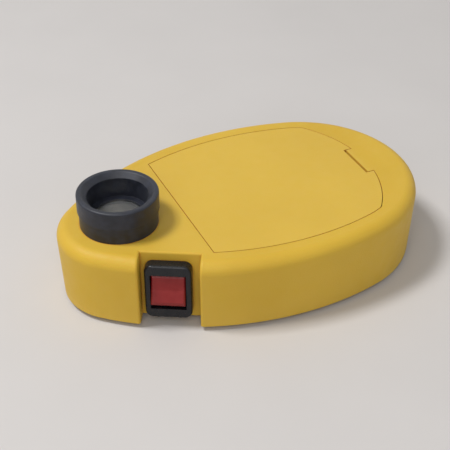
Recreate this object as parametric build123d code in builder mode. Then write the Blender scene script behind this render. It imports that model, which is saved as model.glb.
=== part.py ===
from build123d import *
import math
import os

# Egg candling lamp: an egg-shaped battery housing that lies flat, with a rubber cup
# over a lamp at its small end. +X runs from the small end to the big end, -Y is the
# switch side, +Z is up, and the origin is under the middle of the body, on the table.
# All sizes are in millimetres.

os.makedirs("parts", exist_ok=True)

# Housing
body_length = 135.0
small_end_radius = 22.0
big_end_radius = 41.0
flank_radius = 104.0
deck_height = 28.5
deck_thickness = 2.2
wall = 2.2
draft_angle = 2.8
deck_edge_radius = 4.2
rim_height = 1.8
fit_gap = 0.3

# Base
plate_recess = 0.3
plate_thickness = 1.8
foot_radius = 4.0
foot_seat = 0.6
screw_radius = 1.3
screw_head_radius = 2.4
screw_head_height = 1.4
screw_length = 12.0
screw_slot = 0.7
small_screw_radius = 1.0
small_head_radius = 1.9
small_head_height = 1.2
small_screw_length = 5.5
tray_screw_bite = 1.0
post_radius = 3.0
boss_radius = 2.4
holder_boss_radius = 2.5
small_boss_reach = 15.0
small_boss_turn = 30.0
big_boss_reach = 33.9
big_boss_turn = 43.0
small_foot_back = 5.5
small_foot_side = 12.0
big_foot_back = 15.5
big_foot_side = 28.0
foot_edge_radius = 0.5

# Switch notch and rocker switch
switch_turn = 28.5
switch_shift = -0.7
switch_lift = 0.2
notch_width = 20.6
notch_depth = 7.8
notch_edge_radius = 0.8
bezel_side_lap = 1.0
bezel_end_lap = 0.8
bezel_thickness = 3.8
bezel_corner_radius = 2.8
bezel_edge_radius = 0.8
switch_side_wall = 0.9
switch_top_room = 2.0
switch_back_wall = 1.4
rocker_width = 11.6
rocker_radius = 6.8
rocker_tilt = 17.0
rocker_end_rise = 4.9
rocker_centre_rise = 4.2
rocker_back = 3.0
rocker_bevel = 0.5
stem_radius = 1.9
stem_end = 4.8
plunger_root = 1.0
pivot_behind_bezel = 4.0
trunnion_radius = 1.1
trunnion_length = 0.7
running_gap = 0.05
plunger_radius = 1.0
plunger_tip = 6.6
lever_front = 7.0
lever_thickness = 0.6
lever_length = 12.0
lever_width = 3.6
lever_tilt = 6.8
lever_room = 1.5
terminal_width = 4.7
terminal_thickness = 0.8
terminal_reach = 7.0
terminal_drop = 5.2

# Battery bay and cover
cover_inset = 7.8
cover_gap = 0.25
cover_edge_x = -23.0
cover_thickness = 2.0
cover_end_reach = 25.0
cover_end_radius = 47.6
cover_corner_radius = 3.0
ledge_width = 1.2
ledge_thickness = 1.6
tab_centre_y = 21.4
tab_width = 5.0
tab_reach = 2.4
tab_thickness = 1.4
tab_root = 3.0
rib_thickness = 1.4
rib_depth = 1.2
rib_length = 52.0
rib_pitch = 30.0
rib_cell_gap = 0.3
cell_radius = 7.15
cell_length = 50.4
cell_nub_radius = 2.7
cell_nub_length = 1.2
cell_pitch = 14.9
spring_room = 6.4
spring_wire = 0.7
spring_turns = 3.5
spring_base_radius = 4.4
spring_tip_radius = 2.5
cell_edge_radius = 0.6
contact_thickness = 0.4
contact_size = 10.5
tray_wall = 1.6
tray_behind_edge = 2.0
tray_wall_height = 13.5
cradle_height = 6.0
cradle_gap = 0.15
cradle_count = 4
cradle_pitch = 14.0
cell_lift = 0.3

# Nail slot in the end of the cover, and the tongues that hold it
nail_width = 17.0
nail_depth = 3.9
nail_slot = 1.0
nail_reach = 1.2
nail_drop = 0.5
tongue_width = 6.0
tongue_thickness = 1.4
tongue_drop = 4.0
tongue_centre_y = 14.0
tongue_gap = 0.6

# Egg cup and lamp
cup_radius = 13.6
cup_band_radius = 14.1
cup_height = 12.5
cup_band_height = 6.9
cup_band_slope = 0.4
cup_bore_radius = 10.6
cup_bore_length = 7.2
cup_lip_radius = 12.4
cup_lip_round = 0.7
deck_hole_radius = 11.0
cup_flange_radius = 12.3
cup_flange_thickness = 1.3
cup_throat_radius = 8.4
lens_radius = 9.5
lens_thickness = 2.0
lens_cover = 0.95
reflector_height = 3.3
reflector_mouth_radius = 8.3
reflector_eye_radius = 3.4
holder_radius = 11.2
holder_wall = 1.5
holder_floor = 1.6
holder_ear_reach = 15.0
board_radius = 9.4
board_thickness = 1.6
emitter_radius = 2.9
emitter_base = 0.8
dome_radius = 2.1
driver_shift = 1.5
driver_y = 4.0
driver_length = 14.0
driver_width = 12.0
driver_lift = 2.8
driver_post_radius = 2.0
driver_post_inset = 2.6
resistor_radius = 1.5
resistor_length = 6.4
resistor_span = 9.6
lead_radius = 0.3
lead_bend = 0.7
wire_radius = 0.65
wire_hole_radius = 1.2
solder_tab_width = 3.0
solder_tab_drop = 1.6

# Places worked out from the sizes above
small_x = small_end_radius - body_length / 2
big_x = body_length / 2 - big_end_radius
centre_gap = big_x - small_x
end_difference = big_end_radius - small_end_radius
flank_spare = 2 * flank_radius - small_end_radius - big_end_radius
flank_x = small_x + (centre_gap**2 + end_difference * flank_spare) / (2 * centre_gap)
flank_y = math.sqrt((flank_radius - small_end_radius) ** 2 - (flank_x - small_x) ** 2)
small_lean = math.degrees(math.atan2(flank_y, flank_x - small_x))
big_lean = math.degrees(math.atan2(flank_y, big_x - flank_x))
flank_sweep = 180 - small_lean - big_lean
egg_arcs = [
    (big_x, 0, big_end_radius, -big_lean, 2 * big_lean),
    (flank_x, -flank_y, flank_radius, big_lean, flank_sweep),
    (small_x, 0, small_end_radius, 180 - small_lean, 2 * small_lean),
    (flank_x, flank_y, flank_radius, 180 + small_lean, flank_sweep),
]
deck_under = deck_height - deck_thickness
plate_bottom = rim_height + plate_recess
plate_top = plate_bottom + plate_thickness
cover_bottom = deck_height - cover_thickness
ledge_top = cover_bottom - fit_gap
ledge_bottom = ledge_top - ledge_thickness
cover_end_x = big_x + cover_end_reach
cover_end_centre_x = cover_end_x - cover_end_radius
nail_x = cover_end_x - nail_depth
cell_axis_z = cover_bottom - rib_depth - rib_cell_gap - cell_radius
tray_floor_height = cell_axis_z - cell_radius - cell_lift - tray_wall
tray_start_x = cover_edge_x + tray_behind_edge
cell_ys = [(column - 1.5) * cell_pitch for column in range(4)]
bay_start_x = tray_start_x + tray_wall
near_face_x = bay_start_x + running_gap + contact_thickness
far_face_x = near_face_x + cell_length + spring_room + 2 * running_gap
bay_end_x = far_face_x + contact_thickness + running_gap
tray_end_x = bay_end_x + tray_wall
bay_half_width = 2 * cell_pitch + 4 * running_gap

# The switch, from its rocker outwards
window_width = rocker_width + 2 * fit_gap
window_height = 2 * (rocker_radius + fit_gap)
housing_width = window_width + 2 * switch_side_wall
housing_height = deck_under - switch_top_room - plate_top - switch_lift
bezel_width = housing_width + 2 * bezel_side_lap
bezel_height = housing_height + 2 * bezel_end_lap
switch_height = plate_top + switch_lift + housing_height / 2
pivot_depth = notch_depth - bezel_thickness + pivot_behind_bezel
lever_axis_depth = lever_front + lever_thickness + fit_gap
cavity_back = pivot_depth + lever_axis_depth + lever_room
housing_back = cavity_back + switch_back_wall
terminal_end = housing_back + terminal_reach

# Levels of the lamp stack, from the deck down
flange_top = deck_under - 2 * running_gap
flange_bottom = flange_top - cup_flange_thickness
holder_top = flange_bottom - fit_gap
board_top = holder_top - reflector_height
board_bottom = board_top - board_thickness
holder_bottom = board_bottom - holder_floor
driver_bottom = plate_top + driver_lift
driver_top = driver_bottom + board_thickness
driver_x = small_x + driver_shift


def around(centre_x, reach, turn_angle):
    """Two places at a reach from a point on the long axis, turned to each side."""
    shift = reach * math.cos(math.radians(turn_angle))
    side = reach * math.sin(math.radians(turn_angle))
    return [(centre_x + shift, -side), (centre_x + shift, side)]


small_screw_places = around(small_x, -small_boss_reach, small_boss_turn)
big_screw_places = around(big_x, big_boss_reach, big_boss_turn)
holder_screw_places = [(small_x - holder_ear_reach, 0), (small_x + holder_ear_reach, 0)]
foot_places = [
    (small_x - small_foot_back, -small_foot_side),
    (small_x - small_foot_back, small_foot_side),
    (big_x + big_foot_back, -big_foot_side),
    (big_x + big_foot_back, big_foot_side),
]
post_shift_x = driver_length / 2 - driver_post_inset
post_shift_y = driver_width / 2 - driver_post_inset
driver_post_places = [
    (driver_x - post_shift_x, driver_y - post_shift_y),
    (driver_x + post_shift_x, driver_y + post_shift_y),
]
tray_mid_x = (tray_start_x + tray_end_x) / 2
tray_screw_places = [(tray_mid_x - cradle_pitch, 0), (tray_mid_x + cradle_pitch, 0)]
tray_post_places = [
    (tray_mid_x + along_x * 1.5 * cradle_pitch, side * (bay_half_width - post_radius))
    for along_x in (-1, 1)
    for side in (-1, 1)
]


def draft_inset(height):
    """How far the drafted wall has drawn in at a height."""
    return (deck_height - height) * math.tan(math.radians(draft_angle))


web_length = small_end_radius - draft_inset(rim_height) - wall / 2 - small_boss_reach


def egg(inset=0.0):
    """Four tangent arcs: small end, two flanks and big end, drawn in by the inset."""
    with BuildSketch() as face:
        with BuildLine():
            for x, y, radius, start, swing in egg_arcs:
                CenterArc((x, y), radius - inset, start, swing)
        make_face()
    return face.sketch


def cover_outline(grow, start_x):
    """The cover's outline: the egg drawn in, with a flatter end, cut straight across at start_x."""
    with BuildSketch() as face:
        add(egg(cover_inset - grow))
        with Locations((cover_end_centre_x, 0)):
            Circle(cover_end_radius + grow, mode=Mode.INTERSECT)
        arc_join_x = big_x + (big_end_radius - cover_inset + grow) * math.cos(math.radians(big_lean))
        past_the_join = [place for place in face.vertices() if place.X > arc_join_x + fit_gap]
        corners = [place for place in past_the_join if abs(place.Y) > wall]
        fillet(corners, radius=cover_corner_radius + grow)
        with Locations((start_x, 0)):
            Rectangle(body_length, body_length, align=(Align.MIN, Align.CENTER), mode=Mode.INTERSECT)
    return face.sketch


# The switch sits square to the flank. Its own axes: along the wall, outward and up.
turn = math.radians(switch_turn)
outward = Vector(-math.sin(turn), -math.cos(turn), 0)
along = Vector(math.cos(turn), -math.sin(turn), 0)
notch_mouth = Vector(flank_x, flank_y, 0) + outward * flank_radius


def tilted_side(origin, tilt):
    """The switch's side view at a point: X outward and tipped up by the tilt."""
    lean = math.radians(tilt)
    return Plane(origin, x_dir=outward * math.cos(lean) + Vector(0, 0, math.sin(lean)), z_dir=along * -1)


switch_mouth = notch_mouth + along * switch_shift
switch_front = Plane(switch_mouth + Vector(0, 0, switch_height), x_dir=along, z_dir=outward)
pivot_point = switch_mouth - outward * pivot_depth + Vector(0, 0, switch_height)
switch_side = Plane(pivot_point, x_dir=outward, z_dir=along * -1)
rocker_side = tilted_side(pivot_point, rocker_tilt)
stem_plane = Plane(pivot_point, x_dir=along, z_dir=rocker_side.x_dir * -1)
lever_point = pivot_point - outward * lever_axis_depth
lever_side = tilted_side(lever_point, -lever_tilt)


def notch_plane(height):
    """A level plane at the notch mouth, X along the wall and Y into the body."""
    return Plane(notch_mouth + Vector(0, 0, height), x_dir=along, z_dir=(0, 0, 1))


def switch_point(shift, depth, height):
    """A point by its shift from the switch's middle, its depth into the body and its height."""
    return switch_mouth + along * shift - outward * depth + Vector(0, 0, height)


def on_notch_rim(edge):
    """True for the edges where the notch breaks the deck and the outer wall."""
    place = edge.center() - notch_mouth
    across = abs(place.dot(along))
    inward = -place.dot(outward)
    beside = across < notch_width / 2 + running_gap
    upright_at_back = edge.geom_type == GeomType.LINE and abs(edge.tangent_at(0.5).Z) > 0.9
    return beside and inward < notch_depth + running_gap and place.Z > 2 * rim_height and not upright_at_back


def finish(part, name, colour):
    """Labels a finished piece and writes its file."""
    part.label = name
    part.color = Color(*colour)
    export_step(part, f"parts/{name}.step")


YELLOW = (0.85, 0.62, 0.18)
BLACK = (0.05, 0.05, 0.06)
RED = (0.55, 0.08, 0.08)
STEEL = (0.7, 0.7, 0.72)
GREEN = (0.1, 0.35, 0.2)
WHITE = (0.9, 0.9, 0.88)

# Outer form of the housing, with its rounded deck edge and the switch notch
with BuildPart() as outer_form:
    with BuildSketch(Plane.XY.offset(rim_height)):
        add(egg(1.5 * deck_edge_radius))
    extrude(amount=deck_height - rim_height)
    # the rounded edge and drafted wall, turned about the centre of each arc
    for x, y, radius, start, swing in egg_arcs:
        heading = math.radians(start)
        start_plane = Plane(
            (x, y, 0),
            x_dir=(math.cos(heading), math.sin(heading), 0),
            z_dir=(math.sin(heading), -math.cos(heading), 0),
        )
        with BuildSketch(start_plane) as rim:
            Polygon(
                (radius - 2 * deck_edge_radius, rim_height),
                (radius - draft_inset(rim_height), rim_height),
                (radius, deck_height),
                (radius - 2 * deck_edge_radius, deck_height),
                align=None,
            )
            fillet(rim.vertices().sort_by(Axis.X)[-1], radius=deck_edge_radius)
        revolve(axis=Axis((x, y, 0), (0, 0, 1)), revolution_arc=swing)
    with BuildSketch(notch_plane(0)):
        Rectangle(notch_width, 2 * notch_depth)
    extrude(amount=deck_height + 1, mode=Mode.SUBTRACT)
    notch_rim = [edge for edge in outer_form.edges() if on_notch_rim(edge)]
    fillet(notch_rim, radius=notch_edge_radius)

# Hollow of the housing, kept clear of the notch's own walls
with BuildPart() as hollow_form:
    with BuildSketch(Plane.XY.offset(deck_under)):
        add(egg(wall))
    extrude(amount=rim_height - deck_under, taper=draft_angle)
    with BuildSketch(notch_plane(0)):
        Rectangle(notch_width + 2 * wall, 2 * (notch_depth + wall))
    extrude(amount=deck_height, mode=Mode.SUBTRACT)

with BuildPart() as top_shell:
    add(outer_form.part)
    add(hollow_form.part, mode=Mode.SUBTRACT)
    # ledge under the curved edge of the battery cover
    with BuildSketch(Plane.XY.offset(ledge_bottom)):
        add(cover_outline(cover_gap + wall, cover_edge_x + tab_root))
        add(cover_outline(-ledge_width, cover_edge_x), mode=Mode.SUBTRACT)
    extrude(amount=deck_under - ledge_bottom + fit_gap)
    # bosses for the base screws and for the lamp holder
    with BuildSketch(Plane.XY.offset(plate_top)):
        with Locations(*big_screw_places):
            Circle(boss_radius)
    extrude(amount=deck_under - plate_top)
    # the small end's bosses stop under the lamp holder and join the wall by a web
    with BuildSketch(Plane.XY.offset(plate_top)):
        for x, y in small_screw_places:
            web_turn = math.degrees(math.atan2(y, x - small_x))
            with Locations(Location((x, y), web_turn)):
                Circle(boss_radius)
                Rectangle(web_length, boss_radius, align=(Align.MIN, Align.CENTER))
    extrude(amount=holder_bottom - fit_gap - plate_top)
    with BuildSketch(Plane.XY.offset(board_bottom)):
        with Locations(*holder_screw_places):
            Circle(holder_boss_radius)
    extrude(amount=deck_under - board_bottom)
    # opening for the battery cover, down to its ledge
    with BuildSketch(Plane.XY.offset(ledge_top)):
        add(cover_outline(cover_gap, cover_edge_x - cover_gap))
    extrude(amount=deck_height, mode=Mode.SUBTRACT)
    # block that fills the cover's notch up to a slot, where a fingernail gets under the cover
    with BuildSketch(Plane.XZ):
        Polygon(
            (nail_x - nail_reach, ledge_bottom),
            (cover_end_x + wall, ledge_bottom),
            (cover_end_x + wall, deck_height),
            (nail_x + nail_slot, deck_height),
            (nail_x + nail_slot, cover_bottom - nail_drop),
            (nail_x - nail_reach, cover_bottom - nail_drop),
            align=None,
        )
    extrude(amount=nail_width / 2 - fit_gap, both=True)
    # hole for the egg cup
    with BuildSketch(Plane.XY.offset(deck_under - wall)):
        with Locations((small_x, 0)):
            Circle(deck_hole_radius)
    extrude(amount=deck_height, mode=Mode.SUBTRACT)
    # screw holes
    with BuildSketch(Plane.XY.offset(plate_top)):
        with Locations(*small_screw_places, *big_screw_places):
            Circle(screw_radius + running_gap)
    extrude(amount=screw_length, mode=Mode.SUBTRACT)
    with BuildSketch(Plane.XY.offset(board_bottom)):
        with Locations(*holder_screw_places):
            Circle(small_screw_radius + running_gap)
    extrude(amount=small_screw_length - holder_floor + fit_gap, mode=Mode.SUBTRACT)
    # cut-out for the switch in the back wall of the notch
    with BuildSketch(switch_front.offset(-notch_depth)):
        Rectangle(housing_width + 2 * running_gap, housing_height + 2 * running_gap)
    extrude(amount=-2 * wall, mode=Mode.SUBTRACT)
finish(top_shell.part, "top_shell", YELLOW)

with BuildPart() as base_plate:
    with BuildSketch(Plane.XY.offset(plate_bottom)):
        add(egg(wall + fit_gap + draft_inset(plate_bottom)))
    extrude(amount=plate_thickness)
    with BuildSketch(notch_plane(0)):
        Rectangle(notch_width + 2 * (wall + fit_gap), 2 * (notch_depth + wall + fit_gap))
    extrude(amount=deck_height, mode=Mode.SUBTRACT)
    with BuildSketch(Plane.XY.offset(plate_top)):
        with Locations(*tray_post_places, *tray_screw_places):
            Circle(post_radius)
    extrude(amount=tray_floor_height - plate_top)
    with BuildSketch(Plane.XY.offset(plate_top)):
        with Locations(*driver_post_places):
            Circle(driver_post_radius)
    extrude(amount=driver_lift)
    # recesses for the feet, and counterbored holes for the base screws
    with BuildSketch(Plane.XY.offset(plate_bottom)):
        with Locations(*foot_places):
            Circle(foot_radius + running_gap)
    extrude(amount=foot_seat, mode=Mode.SUBTRACT)
    with BuildSketch(Plane.XY.offset(plate_bottom)):
        with Locations(*small_screw_places, *big_screw_places):
            Circle(screw_head_radius + fit_gap)
    extrude(amount=screw_head_height + 2 * running_gap, mode=Mode.SUBTRACT)
    with BuildSketch(Plane.XY.offset(plate_bottom)):
        with Locations(*small_screw_places, *big_screw_places):
            Circle(screw_radius + fit_gap)
    extrude(amount=plate_thickness, mode=Mode.SUBTRACT)
    # pilot holes for the tray screws and the board screws
    with BuildSketch(Plane.XY.offset(plate_bottom + foot_seat)):
        with Locations(*tray_screw_places, *driver_post_places):
            Circle(small_screw_radius + running_gap)
    extrude(amount=tray_floor_height, mode=Mode.SUBTRACT)
finish(base_plate.part, "base_plate", YELLOW)

with BuildPart() as rubber_feet:
    with BuildSketch():
        with Locations(*foot_places):
            Circle(foot_radius)
    extrude(amount=plate_bottom + foot_seat)
    fillet(rubber_feet.faces().filter_by(Axis.Z).group_by(Axis.Z)[0].edges(), radius=foot_edge_radius)
finish(rubber_feet.part, "rubber_feet", BLACK)


def screws(places, seat, head_radius, head_height, radius, length, way):
    """Round-headed screws with a cross slot. Way is 1 where they point up, -1 down."""
    with BuildPart() as group:
        with BuildSketch(Plane.XY.offset(seat)):
            with Locations(*places):
                Circle(head_radius)
        extrude(amount=-way * head_height)
        with BuildSketch(Plane.XY.offset(seat)):
            with Locations(*places):
                Circle(radius)
        extrude(amount=way * length)
        with BuildSketch(Plane.XY.offset(seat - way * head_height)):
            with Locations(*places):
                Rectangle(1.4 * head_radius, screw_slot)
                Rectangle(screw_slot, 1.4 * head_radius)
        extrude(amount=way * head_height / 2, mode=Mode.SUBTRACT)
    return group.part


base_screw_seat = plate_bottom + screw_head_height + running_gap
base_screws = screws(
    small_screw_places + big_screw_places,
    base_screw_seat,
    screw_head_radius,
    screw_head_height,
    screw_radius,
    screw_length,
    1,
)
finish(base_screws, "base_screws", STEEL)


def small_screws(places, seat, way, length=small_screw_length):
    """The thin screws that hold the tray, the board and the lamp holder."""
    return screws(places, seat, small_head_radius, small_head_height, small_screw_radius, length, way)


tray_screw_seat = tray_floor_height + tray_wall + running_gap
tray_screw_length = tray_screw_seat - plate_top - tray_screw_bite
finish(small_screws(tray_screw_places, tray_screw_seat, -1, tray_screw_length), "tray_screws", STEEL)
finish(small_screws(driver_post_places, driver_top + running_gap, -1), "board_screws", STEEL)
finish(small_screws(holder_screw_places, holder_bottom - running_gap, 1), "holder_screws", STEEL)

with BuildPart() as battery_cover:
    with BuildSketch(Plane.XY.offset(cover_bottom)):
        add(cover_outline(0, cover_edge_x))
        with Locations((nail_x, 0)):
            Rectangle(2 * nail_depth, nail_width, align=(Align.MIN, Align.CENTER), mode=Mode.SUBTRACT)
    extrude(amount=cover_thickness)
    # two tabs that tuck under the deck, stepped down from the straight edge
    with BuildSketch(Plane.XY.offset(deck_under - fit_gap - tab_thickness)):
        with Locations((cover_edge_x - tab_reach, -tab_centre_y), (cover_edge_x - tab_reach, tab_centre_y)):
            Rectangle(tab_reach + tab_root, tab_width, align=(Align.MIN, Align.CENTER))
    extrude(amount=tab_thickness)
    with BuildSketch(Plane.XY.offset(deck_under - fit_gap)):
        with Locations((cover_edge_x + fit_gap, -tab_centre_y), (cover_edge_x + fit_gap, tab_centre_y)):
            Rectangle(tab_root - fit_gap, tab_width, align=(Align.MIN, Align.CENTER))
    extrude(amount=cover_bottom - deck_under + fit_gap)
    # ribs that keep the cells down
    with BuildSketch(Plane.XY.offset(cover_bottom - rib_depth)):
        with Locations((tray_mid_x, 0)):
            with GridLocations(rib_pitch, 1, 2, 1):
                Rectangle(rib_thickness, rib_length)
    extrude(amount=rib_depth)
    # two springy tongues just inside the ledge, one each side of the nail slot
    tongue_x = cover_end_centre_x - tongue_gap + math.sqrt(
        (cover_end_radius - ledge_width) ** 2 - (tongue_centre_y + tongue_width / 2) ** 2
    )
    with BuildSketch(Plane.XY.offset(cover_bottom - tongue_drop)):
        with Locations((tongue_x, -tongue_centre_y), (tongue_x, tongue_centre_y)):
            Rectangle(tongue_thickness, tongue_width, align=(Align.MAX, Align.CENTER))
    extrude(amount=tongue_drop)
finish(battery_cover.part, "battery_cover", YELLOW)

with BuildPart() as battery_tray:
    tray_length = tray_end_x - tray_start_x
    with BuildSketch(Plane.XY.offset(tray_floor_height)):
        with Locations((tray_mid_x, 0)):
            Rectangle(tray_length, 2 * (bay_half_width + tray_wall))
    extrude(amount=tray_wall_height)
    with BuildSketch(Plane.XY.offset(tray_floor_height + tray_wall)):
        with Locations(((bay_start_x + bay_end_x) / 2, 0)):
            Rectangle(bay_end_x - bay_start_x, 2 * bay_half_width)
    extrude(amount=deck_height, mode=Mode.SUBTRACT)
    # cradle ribs across the bay, hollowed for the cells
    with BuildSketch(Plane.XY.offset(tray_floor_height + tray_wall)):
        with Locations((tray_mid_x, 0)):
            with GridLocations(cradle_pitch, 1, cradle_count, 1):
                Rectangle(tray_wall, 2 * bay_half_width)
    extrude(amount=cradle_height)
    with BuildSketch(Plane.YZ.offset(bay_start_x)):
        with Locations(*[(y, cell_axis_z) for y in cell_ys]):
            Circle(cell_radius + cradle_gap)
    extrude(amount=bay_end_x - bay_start_x, mode=Mode.SUBTRACT)
    # holes for the tray screws, and slots for the two solder tabs
    with BuildSketch(Plane.XY.offset(tray_floor_height)):
        with Locations(*tray_screw_places):
            Circle(small_screw_radius + fit_gap)
        with Locations((bay_start_x, cell_ys[0]), (bay_start_x, cell_ys[3])):
            Rectangle(
                contact_thickness + 2 * fit_gap,
                solder_tab_width + 2 * fit_gap,
                align=(Align.MIN, Align.CENTER),
            )
    extrude(amount=tray_wall, mode=Mode.SUBTRACT)
finish(battery_tray.part, "battery_tray", BLACK)


def cell(y, near_plus):
    """One AA cell along X, with its nub towards the near or the far contacts."""
    start = near_face_x + running_gap
    way = -1 if near_plus else 1
    if not near_plus:
        start = far_face_x - running_gap - cell_length
    middle = start + cell_length / 2
    with BuildPart() as one:
        with BuildSketch(Plane.YZ.offset(middle - way * cell_length / 2)):
            with Locations((y, cell_axis_z)):
                Circle(cell_radius)
        extrude(amount=way * (cell_length - cell_nub_length))
        fillet(one.edges().filter_by(GeomType.CIRCLE), radius=cell_edge_radius)
        with BuildSketch(Plane.YZ.offset(middle + way * cell_length / 2)):
            with Locations((y, cell_axis_z)):
                Circle(cell_nub_radius)
        extrude(amount=-way * 2 * cell_nub_length)
    return one.part


for number, y in enumerate(cell_ys):
    finish(cell(y, number % 2 == 0), f"cell_{number + 1}", STEEL)


def biarc(start, start_way, end, end_way):
    """The middle point and middle direction of two arcs that join smoothly."""
    chord = end - start
    both = start_way + end_way
    spare = 2 * (1 - start_way.dot(end_way))
    lead = chord.dot(both)
    reach = (math.sqrt(lead * lead + spare * chord.dot(chord)) - lead) / spare
    middle = (start + end + (start_way - end_way) * reach) * 0.5
    middle_way = (end - end_way * reach - start - start_way * reach).normalized()
    return middle, middle_way


def spring_centre(base_x, tip_x, y, share):
    """A point on the spring's centre line, at a share of its way from base to tip."""
    angle = 2 * math.pi * spring_turns * share
    radius = spring_base_radius + (spring_tip_radius - spring_base_radius) * share
    return Vector(
        base_x + (tip_x - base_x) * share,
        y + radius * math.cos(angle),
        cell_axis_z + radius * math.sin(angle),
    )


def spring(base_x, tip_x, y):
    """A cone spring of round wire, as smooth quarter turns."""
    steps = round(4 * spring_turns)
    tiny = 1e-4
    shares = [step / steps for step in range(steps + 1)]
    points = [spring_centre(base_x, tip_x, y, share) for share in shares]
    ahead = [spring_centre(base_x, tip_x, y, share + tiny) for share in shares]
    behind = [spring_centre(base_x, tip_x, y, share - tiny) for share in shares]
    ways = [(later - earlier).normalized() for later, earlier in zip(ahead, behind)]
    with BuildPart() as wound:
        with BuildLine() as path:
            for step in range(steps):
                middle, middle_way = biarc(points[step], ways[step], points[step + 1], ways[step + 1])
                TangentArc(points[step], middle, tangent=ways[step])
                TangentArc(middle, points[step + 1], tangent=middle_way)
        with BuildSketch(Plane(points[0], z_dir=ways[0])):
            Circle(spring_wire / 2)
        sweep(path=path.wire())
    return wound.part


def spring_gap(base_x, tip_x, y):
    """The least gap between turns of the spring, measured on points."""
    count = round(60 * spring_turns)
    points = [spring_centre(base_x, tip_x, y, step / count) for step in range(count + 1)]
    gaps = [
        (points[one] - points[other]).length - spring_wire
        for one in range(count + 1)
        for other in range(one + 40, count + 1)
    ]
    return min(gaps)


spring_seat = spring_wire / 2 + running_gap
for number, y in enumerate(cell_ys):
    if number % 2 == 0:
        base_x = far_face_x - spring_seat
        tip_x = near_face_x + running_gap + cell_length + spring_seat
    else:
        base_x = near_face_x + spring_seat
        tip_x = far_face_x - running_gap - cell_length - spring_seat
    wound_spring = spring(base_x, tip_x, y)
    finish(wound_spring, f"spring_{number + 1}", STEEL)
    least_gap = round(spring_gap(base_x, tip_x, y), 2)
    print("spring", number + 1, "volume", round(wound_spring.volume, 2), "gap", least_gap)


def contact_plate(face_x, way, ys, tab):
    """A flat contact behind one or two cells, with a solder tab or without one."""
    with BuildPart() as plate:
        with BuildSketch(Plane.YZ.offset(face_x)):
            with Locations((sum(ys) / len(ys), cell_axis_z)):
                Rectangle(max(ys) - min(ys) + contact_size, contact_size)
            if tab:
                tab_end = tray_floor_height - solder_tab_drop
                with Locations((ys[0], tab_end)):
                    Rectangle(solder_tab_width, cell_axis_z - tab_end, align=(Align.CENTER, Align.MIN))
        extrude(amount=way * contact_thickness)
    return plate.part


finish(contact_plate(near_face_x, -1, [cell_ys[0]], True), "contact_positive", STEEL)
finish(contact_plate(near_face_x, -1, [cell_ys[3]], True), "contact_negative", STEEL)
finish(contact_plate(near_face_x, -1, [cell_ys[1], cell_ys[2]], False), "contact_bridge_near", STEEL)
finish(contact_plate(far_face_x, 1, [cell_ys[0], cell_ys[1]], False), "contact_bridge_far_left", STEEL)
finish(contact_plate(far_face_x, 1, [cell_ys[2], cell_ys[3]], False), "contact_bridge_far_right", STEEL)

# Everything of the lamp stack is turned about the cup's own upright axis
cup_axis = Axis((small_x, 0, 0), (0, 0, 1))
cup_seat = deck_height + running_gap
cup_top = deck_height + cup_height
band_bottom = cup_top - cup_band_height
bore_top = cup_top - (cup_lip_radius - cup_bore_radius)
bore_bottom = bore_top - cup_bore_length
lens_top = bore_bottom - lens_cover
lens_bottom = lens_top - lens_thickness


def from_cup_axis(*pairs):
    """Points in the XZ plane, from their radius and height on the cup's axis."""
    return [(small_x + radius, height) for radius, height in pairs]


with BuildPart() as egg_cup:
    with BuildSketch(Plane.XZ):
        Polygon(
            *from_cup_axis(
                (cup_throat_radius, flange_bottom),
                (cup_flange_radius, flange_bottom),
                (cup_flange_radius, flange_top),
                (deck_hole_radius - 2 * running_gap, flange_top),
                (deck_hole_radius - 2 * running_gap, cup_seat),
                (cup_radius, cup_seat),
                (cup_radius, band_bottom),
                (cup_band_radius, band_bottom + cup_band_slope),
                (cup_band_radius, cup_top),
                (cup_lip_radius, cup_top),
                (cup_bore_radius, bore_top),
                (cup_bore_radius, bore_bottom),
                (cup_throat_radius, bore_bottom),
                (cup_throat_radius, lens_top + running_gap),
                (lens_radius + running_gap, lens_top + running_gap),
                (lens_radius + running_gap, lens_bottom - running_gap),
                (cup_throat_radius, lens_bottom - running_gap),
            ),
            align=None,
        )
    revolve(axis=cup_axis)
    fillet(egg_cup.edges().filter_by(GeomType.CIRCLE).group_by(Axis.Z)[-1], radius=cup_lip_round)
finish(egg_cup.part, "egg_cup", BLACK)

with BuildPart() as lens_window:
    with BuildSketch(Plane.XY.offset(lens_bottom)):
        with Locations((small_x, 0)):
            Circle(lens_radius)
    extrude(amount=lens_thickness)
finish(lens_window.part, "lens_window", WHITE)

with BuildPart() as reflector:
    with BuildSketch(Plane.XZ):
        with BuildLine():
            Polyline(
                *from_cup_axis(
                    (reflector_eye_radius, board_top),
                    (board_radius, board_top),
                    (board_radius, holder_top),
                    (reflector_mouth_radius, holder_top),
                )
            )
            ThreePointArc(
                *from_cup_axis(
                    (reflector_mouth_radius, holder_top),
                    (
                        0.64 * reflector_mouth_radius + 0.36 * reflector_eye_radius,
                        board_top + 0.4 * reflector_height,
                    ),
                    (reflector_eye_radius, board_top),
                )
            )
        make_face()
    revolve(axis=cup_axis)
finish(reflector.part, "reflector", WHITE)

with BuildPart() as led_emitter:
    with BuildSketch(Plane.XY.offset(board_top)):
        with Locations((small_x, 0)):
            Circle(emitter_radius)
    extrude(amount=emitter_base)
    with BuildSketch(Plane.XZ):
        with Locations((small_x, board_top + emitter_base)):
            Circle(dome_radius)
            Rectangle(2 * dome_radius, dome_radius, align=(Align.MIN, Align.MIN), mode=Mode.INTERSECT)
    revolve(axis=cup_axis)
finish(led_emitter.part, "led_emitter", WHITE)

lamp_wire_places = [(small_x - board_radius / 2, side * board_radius / 2) for side in (-1, 1)]
with BuildPart() as led_board:
    with BuildSketch(Plane.XY.offset(board_bottom)):
        with Locations((small_x, 0)):
            Circle(board_radius)
    extrude(amount=board_thickness)
finish(led_board.part, "led_board", WHITE)

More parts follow.
